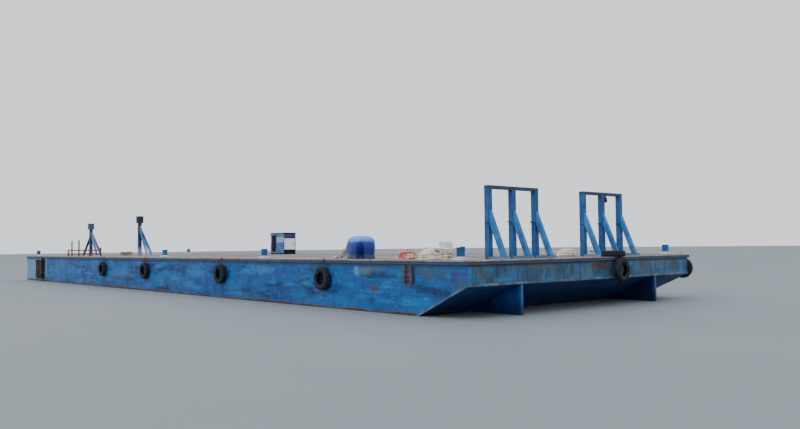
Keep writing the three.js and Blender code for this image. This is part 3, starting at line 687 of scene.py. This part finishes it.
finishes = {
    "hull": hullPaint(),
    "skeg": weatheredPaint(
        "skegEnamel", "#073f84", "#0f58a2", "#042b5c", rustFrom=0.66,
        # starboard skeg darker all over: painted shade of the hull; lighter at the trailing edge: painted
        # light; also darker towards the bottom
        bands=[(1, -4, 1.5, 0.3, 0.85, "#03142e"), (0, -13.9, -13.66, 0.01, 0.6, "#2f6aa0"),
               (2, -1, 0.55, 0.3, 0.8, "#041c3a")]),
    "frame": weatheredPaint(
        "frameEnamel", "#124e8c", "#2268a8", "#0a3462", rustAmount=0.75, rustFrom=0.62,
        bands=[(2, 2.925, 3.1, 0.01, 0.8, "#2b3648"), (2, 1.4, 1.56, 0.03, 0.6, "#5c463c"),
               (2, 2.21, 2.26, 0.004, 0.5, "#16263c")]),
    "brace": weatheredPaint(
        "braceEnamel", "#206aa8", "#4288c2", "#124a80", rustAmount=0.7, rustFrom=0.62,
        bands=[(2, 1.4, 1.56, 0.01, 0.6, "#8a8680")]),
    "postAft": weatheredPaint(
        "aftPostEnamel", "#173050", "#27496e", "#0d1e36", rustFrom=0.64,
        bands=[(0, 5.0, 6.395, 0.005, 1, "#4a86cc"), (2, 2.83, 3.2, 0.004, 0.9, "#171624"),
               (2, 1.4, 1.75, 0.2, 0.5, "#a9b6d0")]),
    "postFore": weatheredPaint(
        "forePostEnamel", "#183254", "#2a4c74", "#0d1e36", rustFrom=0.64,
        bands=[(0, 10.0, 12.0, 0.01, 1, "#6f96c8"), (0, 12.17, 13.4, 0.01, 1, "#11151d"),
               (2, 2.705, 3.1, 0.004, 1, "#4a5870")]),
    "rail": weatheredPaint(
        "deckEdgeEnamel", "#77757a", "#a49f9c", "#45474c", rust="#553428", rustAmount=0.85, rustFrom=0.54,
        # side blue low on the face, then a near-black band: painted shade under the rail's pale top, partly
        # dark rust
        bands=[(2, 1.40, 1.488, 0.004, 0.9, "#0f3a62"), (2, 1.490, 1.511, 0.004, 0.9, "#151c26")]),
    "edge": weatheredPaint(
        "scuffedEdgeSteel", "#30587a", "#6f8596", "#2a3d4c", rustAmount=0.85, rustFrom=0.54),
    "pale": weatheredPaint(
        "paleWornEnamel", "#547898", "#8299ae", "#385877", rustAmount=0.7, rustFrom=0.58),
    "bollard": weatheredPaint(
        "bollardEnamel", "#0f4c84", "#226aa6", "#08325c", rustAmount=0.7, rustFrom=0.62,
        bands=[(2, 1.4, 1.541, 0.004, 0.8, "#8f8b8a"), (2, 1.541, 1.598, 0.004, 0.85, "#d4d8dc")]),
    "deck": deckCoating(),
    "tyre": tyreRubber(),
    "fender": weatheredPaint(
        "fenderRubber", "#1d1d20", "#33322f", "#101013", rust="#6b4636", rustAmount=0.8, rustFrom=0.56,
        roughness=0.85),
    "rust": rustySteel("weatheredMildSteel"),
    "chain": rustySteel("rustyChainSteel", "#3c302c", "#6b4c3e", "#221c1c"),
    "ladder": rustySteel("rustRedSteel", "#5c4242", "#745650", "#3e3236"),
    "hutWhite": weatheredPaint(
        "hutWhiteEnamel", "#eef1fb", "#fbfcff", "#b4bccb", rustFrom=0.68, streaks=0.25),
    "hutBlue": weatheredPaint(
        "hutBlueEnamel", "#33659f", "#5a8cc4", "#234876", rustFrom=0.66,
        bands=[(2, 2.02, 2.20, 0.03, 0.7, "#a4c2e4")]),
    # near-black navy on the hut's parts other than its blue walls, and on the door battens: navy paint,
    # darkened as painted shade
    "hutDark": weatheredPaint(
        "hutNavyEnamelAndShade", "#060d24", "#0e1a3a", "#040814", rustAmount=0.4, rustFrom=0.66, roughness=0.7,
        specular=0.2),
    "hutBand": weatheredPaint("hutHeaderEnamel", "#2c3160", "#43497c", "#1c2044", rustAmount=0.3),
    "hutGrey": weatheredPaint("hutStripEnamel", "#5c7490", "#8297ae", "#41566e", rustAmount=0.4),
    "machine": weatheredPaint("oilyMachinePaint", "#55595a", "#6f7372", "#303332"),
    "lamp": weatheredPaint("lampHousingEnamel", "#161f33", "#2a3852", "#0d1422", rustAmount=0.3),
    "glass": lampGlass(),
    "tarp": coatedTarp(),
    "canvas": oldCanvas(),
}
print("finishes mixed")

finishOfNode = {  # start of a node's name: finish; the longest start that fits counts
    "hull": "hull", "deck_plate": "deck", "deck_rail": "rail", "transom_lower_bar": "edge",
    "rake_edge_bar": "edge", "skeg": "skeg", "stern_frame": "frame", "stern_brace": "brace",
    "stern_lamp": "lamp", "bow_post_aft": "postAft", "bow_post_fore": "postFore", "cargo_rail": "rust",
    "bollard_strip": "bollard", "tyre": "tyre", "side_ladder": "ladder", "bow_fender": "fender",
    "hut_port_wall": "hutBlue", "hut_starboard_wall": "hutBlue", "hut_fore_wall": "hutBlue",
    "hut": "hutDark", "deck_machine": "machine", "machine_cover": "tarp", "hatch": "deck",
    "rope_coil": "deck",
}
for name, node in nodes.items():
    start = max((key for key in finishOfNode if name.startswith(key)), key=len)
    node.data.materials.clear()
    node.data.materials.append(finishes[finishOfNode[start]])
print("frame painted")


# Tyres, hung round the hull in rusty chains
tyreSettings = {
    "hole": 0.135,
    "tread": 0.2515,
    "width": 0.132,
    "inboard": 0.0055,  # set in towards the hull, so that the chain over the outer wall stays in the box
    "lugs": 32,
    "samplesPerLug": 4,
    "grooveDepth": 0.009,
    # half sections: share of the way from the hole to the tread, share of the half width
    "outside": [(0.00, 0.62), (0.03, 0.74), (0.14, 0.84), (0.36, 0.98), (0.56, 1.00), (0.76, 0.95),
                (0.88, 0.86), (0.97, 0.74), (0.995, 0.42)],
    "crown": (1.00, 0.0),
    "lining": [(0.10, 0.62), (0.30, 0.80), (0.56, 0.84), (0.80, 0.70)],
    "liningCrown": (0.88, 0.0),
}
chainSettings = {
    "link": (0.036, 0.021, 0.0028),  # length, width, radius of its wire
    "pitch": 0.026,
    "steps": (12, 6),  # round a link, round its wire
    "eye": (0.020, 0.0045),  # radius of the ring, radius of its wire
    "eyeAt": (0.016, 1.548),  # in from the rail's outer face, height
    "pad": (0.028, 0.03, 0.03, 0.008),  # plate under the eye: how far below, half length, width, thickness
    "railOut": {"side": 3.845, "stern": 13.75},  # outer face of the deck rail
    "overRail": [(0.012, -0.008, -0.012), (0.020, 0.008, -0.026)],  # along, out from the rail, up from the eye
    "downTyre": [  # along, out from the tyre's middle, up from it: over the tread, down the wall, inside
        (0.092, 0.020, 0.247), (0.090, 0.056, 0.232), (0.080, 0.065, 0.195), (0.062, 0.064, 0.145),
        (0.052, 0.035, 0.118)],
}


def tyreShape(centre, axis, settings):
    # radius = hole + share (tread - hole), less a groove between lugs near the shoulders, carried round axis
    outside, lining = settings["outside"], settings["lining"]
    otherHalf = [(share, -beside) for share, beside in outside[::-1]]
    liningHalf = [(share, -beside) for share, beside in lining]
    rows = np.array(outside + [settings["crown"]] + otherHalf
                    + liningHalf + [settings["liningCrown"]] + lining[::-1])
    radius = settings["hole"] + rows[:, 0] * (settings["tread"] - settings["hole"])
    beside = rows[:, 1] * settings["width"] / 2
    isOutside = np.arange(len(rows)) < 2 * len(outside) + 1
    shoulder = isOutside & (rows[:, 0] > 0.80) & (np.abs(rows[:, 1]) > 0.4)
    each = settings["samplesPerLug"]
    segments = settings["lugs"] * each
    groove = np.arange(segments) % each >= each // 2
    r = radius[None] - groove[:, None] * shoulder[None] * settings["grooveDepth"]
    points = np.asarray(centre) + r[..., None] * spokes(axis, segments)[:, None] + beside[None, :, None] * axis
    return points.reshape(-1, 3), gridFaces(segments, len(rows), True, True)


def chain(path, settings):
    # links at equal steps along the path, every other one turned a quarter round it. A link is a thin tube
    # round a stadium: along = w cos a + straight sign(cos a), across = w sin a
    path = np.asarray(path, float)
    length, width, wire = settings["link"]
    roundLink, roundWire = settings["steps"]
    reach = walk(path)
    count = max(2, int(reach[-1] / settings["pitch"]))
    at = (np.arange(count) + 0.5) * reach[-1] / count
    nearBy = 0.006  # the chain's direction is taken this far each way
    askew = (0.31, 0.29, 0.13)  # no chain runs this way

    def spot(s):
        return np.stack([np.interp(s, reach, path[:, k]) for k in range(3)], 1)

    ahead = unit(spot(at + nearBy) - spot(at - nearBy))
    side = unit(np.cross(ahead, askew))
    over = np.cross(ahead, side)
    odd = (np.arange(count) % 2 == 1)[:, None]
    flat, normal = np.where(odd, over, side), np.where(odd, side, over)
    a, b = stepsRound(roundLink), stepsRound(roundWire)
    w = width / 2 - wire
    straight = (length - width) / 2
    centreLine = np.stack([w * np.cos(a) + straight * np.sign(np.round(np.cos(a), 6)), w * np.sin(a)], 1)
    out = np.stack([np.cos(a), np.sin(a)], 1)
    inPlane = centreLine[:, None] + wire * np.cos(b)[None, :, None] * out[:, None]
    lift = np.broadcast_to(wire * np.sin(b), (roundLink, roundWire))
    points = (spot(at)[:, None, None] + inPlane[None, ..., :1] * ahead[:, None, None]
              + inPlane[None, ..., 1:] * flat[:, None, None] + lift[None, ..., None] * normal[:, None, None])
    oneLink = np.array(gridFaces(roundLink, roundWire, True, True))
    faces = oneLink[None] + np.arange(count)[:, None, None] * roundLink * roundWire
    return points.reshape(-1, 3), faces.reshape(-1, 4).tolist()


def tyreChains(centre, out, along, railOut, settings):
    # an eye on the deck edge above the tyre, and two legs spread from it like an A
    up = np.array([0.0, 0.0, 1.0])
    edge = railOut - abs(float(np.dot(centre, out)))  # the rail's outer face, out from the tyre's middle
    inFromEdge, height = settings["eyeAt"]
    eyeHeight = height - centre[2]
    eye = centre + (edge - inFromEdge) * out + eyeHeight * up
    radius, wire = settings["eye"]
    a = stepsRound(16)[:, None]
    ring = eye + radius * (np.cos(a) * along + np.sin(a) * up)
    below, half, width, thickness = settings["pad"]
    foot = eye - below * up
    shapes = [tube(ring, wire, 8, closed=True, up=out),
              bar(foot - half * along, foot + half * along, width, thickness)]
    overRail = np.array(settings["overRail"]) + (0, edge, eyeHeight)
    for hand in (-1, 1):
        leg = np.concatenate([overRail, settings["downTyre"]]) * (hand, 1, 1)
        shapes.append(chain(centre + leg @ np.stack([along, out, up]), settings))
    return shapes


def makeTyres(settings, chainSettings):
    for name in [n for n in nodes if n.startswith("tyre")]:
        low, high, centre = boxOf(name)
        which = int((high - low).argmin())
        axis = np.eye(3)[which]
        hung = which < 2  # the other lies on deck
        if hung:
            out = axis * np.sign(centre[which])
            centre = centre - settings["inboard"] * out
        else:
            centre = centre - axis * ((high - low)[2] - settings["width"]) / 2
        addPiece(name.replace("tyre", "worn_tyre"), [tyreShape(centre, axis, settings)], finishes["tyre"],
                 stands=[name])
        if hung:
            railOut = chainSettings["railOut"]["stern" if which == 0 else "side"]
            addPiece(name.replace("tyre", "tyre_chain"),
                     tyreChains(centre, out, np.eye(3)[1 - which], railOut, chainSettings),
                     finishes["chain"])


makeTyres(tyreSettings, chainSettings)
print("tyres hung")


# Cover: a tarpaulin thrown over the deck machine, gathered in pleats at its corners
coverSettings = {
    "centre": (-9.63, 3.0),
    "halfSize": (0.296, 0.236),
    "squareness": 7.0,  # of the outline: 2 is an ellipse, more is squarer
    "height": 0.513,
    "highest": 0.518,  # above the deck
    "profile": [  # share of the way down the cloth, share of the outline's reach, share of the height
        (0.00, 0.00, 1.00), (0.12, 0.34, 0.995), (0.25, 0.66, 0.965), (0.36, 0.86, 0.90), (0.44, 0.945, 0.81),
        (0.52, 0.98, 0.69), (0.64, 0.995, 0.50), (0.78, 0.955, 0.28), (0.84, 0.93, 0.19), (0.90, 0.965, 0.11),
        (1.00, 1.00, 0.010)],
    "steps": (56, 480),  # down the cloth, round it
    "fold": (0.022, 12),  # depth in metres, how many go round
    "pleat": (0.056, 72),  # the gathers at the corners
    "wrinkle": 0.006,  # on the shoulder
    "bow": 0.5,  # how much of its reach it loses to the slope towards the bow
    "lift": (0.66, 0.30, 0.15),  # where round the hem it is caught up, how wide, how high
    "thickness": 0.003,
    "flat": (1.38, 1.39),
}


def squared(wave, power):
    return np.sign(wave) * np.abs(wave) ** power


def coverShape(settings):
    # x, y = reach(v) superellipse(u) less folds and corner pleats that deepen down the cloth; z = height(v).
    # w is the share of the hem walked, so that folds are as wide on the sides as at the corners
    down, around = settings["steps"]
    a, b = settings["halfSize"]
    power = 2 / settings["squareness"]
    fine = np.linspace(0, fullTurn, 4001)
    walked = walk(np.stack([a * squared(np.cos(fine), power), b * squared(np.sin(fine), power)], 1))
    w = stepsRound(around)[None]
    u = np.interp(w * walked[-1] / fullTurn, walked, fine)
    v = np.linspace(0, 1, down)[:, None]
    at, reaches, heights = np.array(settings["profile"]).T
    reach, height = np.interp(v, at, reaches), np.interp(v, at, heights)
    soften(reach, 3)
    soften(height, 3)
    across, aside = squared(np.cos(u), power), squared(np.sin(u), power)
    depth, count = settings["fold"]
    fold = depth * smoothStep(0.30, 0.85, v) * (
        0.5 - 0.5 * np.cos(count * w + 1.1 * np.sin(2 * w + 1) + 1.5 * v + 1.5))
    depth, count = settings["pleat"]
    corner = np.abs(np.sin(2 * u)) ** 0.5
    uneven = 0.70 + 0.30 * np.sin(5 * w + 2.0) * np.sin(3 * w + 0.5)
    wander = 2.4 * np.sin(7 * w + 1.3 * v) + 1.2 * np.sin(13 * w - 2 * v) + 2.2 * v
    pleat = 0.5 - 0.5 * np.cos(count * w + wander)
    fold = fold + depth * smoothStep(0.28, 0.75, v) * corner * uneven * pleat
    near = 1 - fold / np.hypot(a * across, b * aside)
    bow = 1 - settings["bow"] * smoothStep(0.40, 1.0, height) * np.clip(np.cos(u), 0, 1) ** 0.8
    x = settings["centre"][0] + a * reach * across * near * bow
    y = settings["centre"][1] + b * reach * aside * near
    onShoulder = np.sin(math.pi * np.clip(v / 0.4, 0, 1))
    wrinkle = settings["wrinkle"] * np.sin(9 * w + 14 * v) * onShoulder
    at, wide, high = settings["lift"]
    caught = high * np.exp(-((w - at) / wide) ** 2) * smoothStep(0.70, 1.0, v)
    z = deckTop + np.minimum(0.002 + settings["height"] * height + wrinkle + caught, settings["highest"])
    return np.stack([x, y, z], -1).reshape(-1, 3), gridFaces(down, around, False, True)


canvasSettings = {
    "start": (-9.365, 3.04),
    "size": (0.40, 0.23),
    "steps": (64, 36),
    "drop": 0.22,
    "thickness": 0.003,
    "flat": (0.52, 0.25),
}


def canvasShape(settings):
    # a strip s along, t across: z = deck + drop (1 - s)^2.2 with rumples, x and y waved a little
    along, across = settings["steps"]
    s = np.linspace(0, 1, along)[:, None]
    t = np.linspace(0, 1, across)[None]
    x = settings["start"][0] + settings["size"][0] * s + 0.022 * np.sin(7 * t + 3 * s)
    y = settings["start"][1] + settings["size"][1] * t * (1 + 0.25 * s) + 0.018 * np.sin(9 * s + 1)
    rumple = 0.013 * (1 + np.sin(21 * s + 5 * t)) * smoothStep(0, 0.2, s)
    rumple = rumple + 0.008 * (1 + np.sin(17 * t - 9 * s))
    z = deckTop + 0.004 + settings["drop"] * (1 - s) ** 2.2 + rumple
    return np.stack(np.broadcast_arrays(x, y, z), -1).reshape(-1, 3), gridFaces(along, across)


def makeCloth(name, shape, finish, thickness, stands=()):
    cloth = addPiece(name, [shape], finishes[finish], stands=stands)
    solid = cloth.modifiers.new("clothThickness", "SOLIDIFY")
    solid.thickness = thickness
    solid.offset = -1.0
    return cloth


def makeCovers():
    tarp = makeCloth("machine_tarpaulin", coverShape(coverSettings), "tarp", coverSettings["thickness"],
                     stands=["machine_cover"])
    canvas = makeCloth("loose_canvas", canvasShape(canvasSettings), "canvas", canvasSettings["thickness"])


makeCovers()
print("cover draped")


# Hut trim
hutSettings = {
    "aftX": 2.8225,  # aft and port faces of the hut
    "portY": -2.8125,
    "panel": (-3.10, 0.235, 1.725, 2.145, 0.010),  # middle across, half width, low, high, depth
    "rim": (0.022, 0.018, 0.012),  # width, depth, how far it runs on at the corners
    "header": (-3.36, -2.84, 2.26, 0.16, 0.012),  # from, to, height of its middle, width, depth
    "headerOut": 0.007,
    "pull": (-3.30, 0.006, [(0.012, 1.90), (0.040, 1.91), (0.042, 1.96), (0.040, 2.01), (0.012, 2.02)]),
    "doorway": (3.3775, 3.6975, 1.6303, 2.2903),  # aft, fore, low, high
    "frameBar": (0.028, 0.009, 0.010),  # width, depth, gap to the door
    "sill": (0.020, 0.030),  # width, how far below the doorway
    "strip": (2.83, 3.79, 2.345, 0.034, 0.008),  # from, to, height, width, depth
    "hinges": (3.6915, 1.79, 2.14),  # place along the hut, heights
    "knuckle": [(0, -0.04), (0.0045, -0.04), (0.0056, -0.036), (0.0056, 0.036), (0.0045, 0.04), (0, 0.04)],
    "strap": (0.008, 0.16, 0.036, 0.006),  # from the hinge, to, width, depth
    "handle": (3.42, 0.0055, [(0, 1.93), (0.030, 1.94), (0.034, 1.97), (0.030, 2.00), (0, 2.01)]),
    "battens": [  # aft and low end, fore and high end, width, depth
        ((3.405, 1.68), (3.405, 1.90), 0.022, 0.005),
        ((3.44, 1.7200), (3.66, 1.7200), 0.050, 0.005)],
}


def makeHutTrim(settings):
    x, y = settings["aftX"], settings["portY"]
    aftward, portward = (1, 0, 0), (0, 1, 0)

    def onAft(y1, z1, y2, z2, width, depth, out=None, rounding=0.15):
        out = depth / 2 if out is None else out
        return bar((x - out, y1, z1), (x - out, y2, z2), width, depth, rounding, aftward)

    def onPort(x1, z1, x2, z2, width, depth, out=None):
        out = depth / 2 if out is None else out
        return bar((x1, y + out, z1), (x2, y + out, z2), width, depth, up=portward)

    middle, half, low, high, depth = settings["panel"]
    port, starboard, mid = middle + half, middle - half, (low + high) / 2
    addPiece("hut_aft_panel", [onAft(starboard, mid, port, mid, high - low, depth, rounding=0.3)],
             finishes["hutWhite"], flat=True)
    width, depth, on = settings["rim"]
    rim = [onAft(starboard - on, z, port + on, z, width, depth) for z in (low, high)]
    rim += [onAft(side, low, side, high, width, depth) for side in (starboard, port)]
    addPiece("hut_aft_panel_rim", rim, finishes["hutWhite"], flat=True)
    start, end, z, width, depth = settings["header"]
    addPiece("hut_header", [onAft(start, z, end, z, width, depth, settings["headerOut"])],
             finishes["hutBand"], flat=True)
    pullY, rod, bends = settings["pull"]
    addPiece("hut_pull", [tube([(x - out, pullY, z) for out, z in bends], rod, up=portward)],
             finishes["chain"])

    aft, fore, low, high = settings["doorway"]
    width, depth, gap = settings["frameBar"]
    left, right, top = aft - gap - width / 2, fore + gap + width / 2, high + gap + width / 2
    sillWidth, below = settings["sill"]
    outside = (left - width / 2, right + width / 2)
    frameBars = [onPort(jamb, low - sillWidth, jamb, top, width, depth) for jamb in (left, right)]
    frameBars += [onPort(outside[0], z, outside[1], z, wide, depth)
                  for z, wide in ((top, width), (low - below, sillWidth))]
    addPiece("hut_door_frame", frameBars, finishes["pale"], flat=True)
    start, end, z, width, depth = settings["strip"]
    addPiece("hut_port_strip", [onPort(start, z, end, z, width, depth)], finishes["hutGrey"],
             flat=True)
    hingeX, *hingeHeights = settings["hinges"]
    near, far, width, depth = settings["strap"]
    fittings = []
    for z in hingeHeights:
        fittings.append(lathe(settings["knuckle"], (hingeX, y, z), 16))
        fittings.append(onPort(hingeX - far, z, hingeX - near, z, width, depth))
    handleX, rod, bends = settings["handle"]
    fittings.append(tube([(handleX, y + out, z) for out, z in bends], rod, up=aftward))
    addPiece("hut_door_fittings", fittings, finishes["chain"], body="hut_door")
    (lowEnd, highEnd, width, depth), (aftEnd, foreEnd, acrossWidth, acrossDepth) = settings["battens"]
    battens = [onPort(*lowEnd, *highEnd, width, depth, 0.003),
               onPort(*aftEnd, *foreEnd, acrossWidth, acrossDepth, 0.0025)]
    addPiece("hut_door_battens", battens, finishes["hutDark"], body="hut_door", flat=True)


makeHutTrim(hutSettings)
print("hut trimmed")


# Hatches: strap hinges, handles and dogs on the lids, brackets on the coamings
hatchSettings = {
    "lids": [("hatch_lid_aft", -7.5125, -1.3), ("hatch_lid_fore", 8.7375, 1.3)],  # body, hinge x, middle y
    "hingeZ": 1.6573,
    "lidTop": 1.6753,
    "hingeSides": (-0.12, 0.12),
    "knuckle": [(0, -0.03), (0.007, -0.03), (0.0085, -0.026), (0.0085, 0.026), (0.007, 0.03), (0, 0.03)],
    "strap": (0.004, 0.24, 0.034, 0.006),  # from the hinge, to, width, thickness
    "bracket": (0.008, 1.600, 1.647, 0.050, 0.026),  # aft of the hinge, low, high, width, thickness
    "handleAft": 0.355,  # from the hinge
    "handle": [(-0.060, 0), (-0.058, 0.026), (-0.045, 0.032), (0.045, 0.032), (0.058, 0.026), (0.060, 0)],
    "rod": 0.0055,
    "dogs": [(0.10, -0.17), (0.10, 0.17), (0.30, -0.17), (0.30, 0.17)],  # aft of the hinge, to the side
    "dog": [(0, 0.022), (0.006, 0.022), (0.007, 0.010), (0.014, 0.010), (0.015, 0.0), (0, -0.001)],
    "wing": (0.020, 0.018, 0.006, 0.008),  # half length, height, width, thickness
}


def makeHatchTrim(settings):
    hingeZ, top = settings["hingeZ"], settings["lidTop"]
    near, far, strapWidth, strapDepth = settings["strap"]
    behind, low, high, bracketWidth, bracketDepth = settings["bracket"]
    half, wingHeight, wingWidth, wingDepth = settings["wing"]
    for lid, x, y in settings["lids"]:
        onLid, onBarge = [], []
        for side in settings["hingeSides"]:
            strapZ = top + strapDepth / 2
            onLid.append(lathe(settings["knuckle"], (x, y + side, hingeZ), 16, axis=(0, 1, 0)))
            onLid.append(bar((x - far, y + side, strapZ), (x - near, y + side, strapZ),
                             strapWidth, strapDepth))
            onBarge.append(bar((x - behind, y + side, low), (x - behind, y + side, high),
                               bracketWidth, bracketDepth, up=(1, 0, 0)))
        handle = [(x - settings["handleAft"], y + side, top + rise) for side, rise in settings["handle"]]
        onLid.append(tube(handle, settings["rod"], up=(1, 0, 0)))
        for aft, side in settings["dogs"]:
            dogX, dogY, wingZ = x - aft, y + side, top + wingHeight
            onLid.append(lathe(settings["dog"], (dogX, dogY, top), 12))
            onLid.append(bar((dogX - half, dogY, wingZ), (dogX + half, dogY, wingZ), wingWidth, wingDepth))
        addPiece(lid + "_fittings", onLid, finishes["rust"], body=lid)
        addPiece(lid.replace("lid", "bracket"), onBarge, finishes["rust"], flat=True)


makeHatchTrim(hatchSettings)
print("hatches fitted")


# Fender straps, doubling plates and lamps
fittingSettings = {
    "padMiddles": (11.26, 11.71),
    "padOut": 3.956,  # outer face of the pads, where straps and caps lie
    "straps": (0.11, 0.635, 1.435, 0.045, 0.012),  # either side of the middle, low, high, width, depth
    "caps": (0.165, 1.415, 0.016, 0.036),  # half length, height, depth, width
    "plate": (10.88, 0.66, 1.452, 0.34, 0.010),  # x, low, high, width, depth
    "lamps": [  # name, place, radius; the first is on the aft face of the after bow post
        ("post_lamp", (6.405, 1.555, 2.668), 0.036),
        ("stern_lamp_face", (-12.875, -1.7413, 2.825), 0.026)],
}


def lampShape(place, radius):
    # a bulkhead lamp facing aft: a flanged base and a domed glass
    aft = (-1, 0, 0)
    flange = [(0, 0), (radius * 1.25, 0), (radius * 1.25, 0.006), (radius, 0.010), (radius, 0.016), (0, 0.016)]
    rise = np.linspace(0, math.pi / 2, 7)
    dome = np.stack([radius * 0.92 * np.cos(rise), 0.014 + radius * 0.7 * np.sin(rise)], 1)
    return lathe(flange, place, 28, aft), lathe(np.concatenate([[(0, 0.012)], dome]), place, 28, aft)


def makeFittings(settings):
    beside, strapLow, strapHigh, strapWidth, strapDepth = settings["straps"]
    half, capHeight, capDepth, capWidth = settings["caps"]
    plateX, plateLow, plateHigh, plateWidth, plateDepth = settings["plate"]
    outward = (0, 1, 0)
    for hand, word in ((1, "port"), (-1, "starboard")):
        y = hand * settings["padOut"]
        straps = [bar((x, y, strapLow), (x, y, strapHigh), strapWidth, strapDepth, up=outward)
                  for middle in settings["padMiddles"] for x in (middle - beside, middle + beside)]
        addPiece(f"fender_straps_{word}", straps, finishes["rust"], flat=True)
        caps = [bar((x - half, y, capHeight), (x + half, y, capHeight), capDepth, capWidth)
                for x in settings["padMiddles"]]
        addPiece(f"fender_caps_{word}", caps, finishes["pale"], flat=True)
        plateY = hand * (sideY + plateDepth / 2)
        plate = bar((plateX, plateY, plateLow), (plateX, plateY, plateHigh), plateWidth, plateDepth,
                    up=outward)
        addPiece(f"doubling_plate_{word}", [plate], finishes["pale"], flat=True)
    for name, place, radius in settings["lamps"]:
        base, glass = lampShape(place, radius)
        addPiece(name + "_base", [base], finishes["lamp"])
        addPiece(name + "_glass", [glass], finishes["glass"])


makeFittings(fittingSettings)
print("fittings placed")


# Light and floor
stageSettings = {
    "reach": 260.0,
    "floor": ("#868f94", "#7d878c"),
    "sky": ("#eef2f8", 1.35),
    "key": ((-8, 34, 26), (0, 0, 1), 26, 5200, "#fff8f0"),  # place, target, size, watts, colour
}


def makeLight(name, place, target, size, power, colour):
    data = bpy.data.lights.new(name, "AREA")
    data.shape = "DISK"
    data.size = size
    data.energy = power
    data.color = hexColour(colour)[:3]
    away = unit(np.array(place, float) - np.array(target, float))
    across = unit(np.cross((0, 0, 1), away))
    putInScene(name, data, place, (across, np.cross(away, across), away))


def makeFloor(settings):
    # pale matt ground at the waterline, slightly uneven in tone
    material, tree, shader, place = newFinish("paleMattFloor", Roughness=0.7, Specular_IOR_Level=0.3)
    pale, shade = settings["floor"]
    paint(tree, shader, pale, wear(tree, place, [(shade, 6.0, 0.3, 0.7, 0.5)]))
    mesh = bpy.data.meshes.new("floor")
    reach = settings["reach"]
    corners = [(-reach, -reach), (reach, -reach), (reach, reach), (-reach, reach)]
    mesh.from_pydata([(x, y, waterline) for x, y in corners], [], [(0, 1, 2, 3)])
    mesh.materials.append(material)
    floor = putInScene("floor", mesh)


def makeSky(colour, strength):
    world = bpy.data.worlds.new("paleSky")
    bpy.context.scene.world = world
    world.use_nodes = True
    background = world.node_tree.nodes["Background"]
    background.inputs["Color"].default_value = hexColour(colour)
    background.inputs["Strength"].default_value = strength


makeFloor(stageSettings)
makeSky(*stageSettings["sky"])
makeLight("skyKey", *stageSettings["key"])
print("stage set")
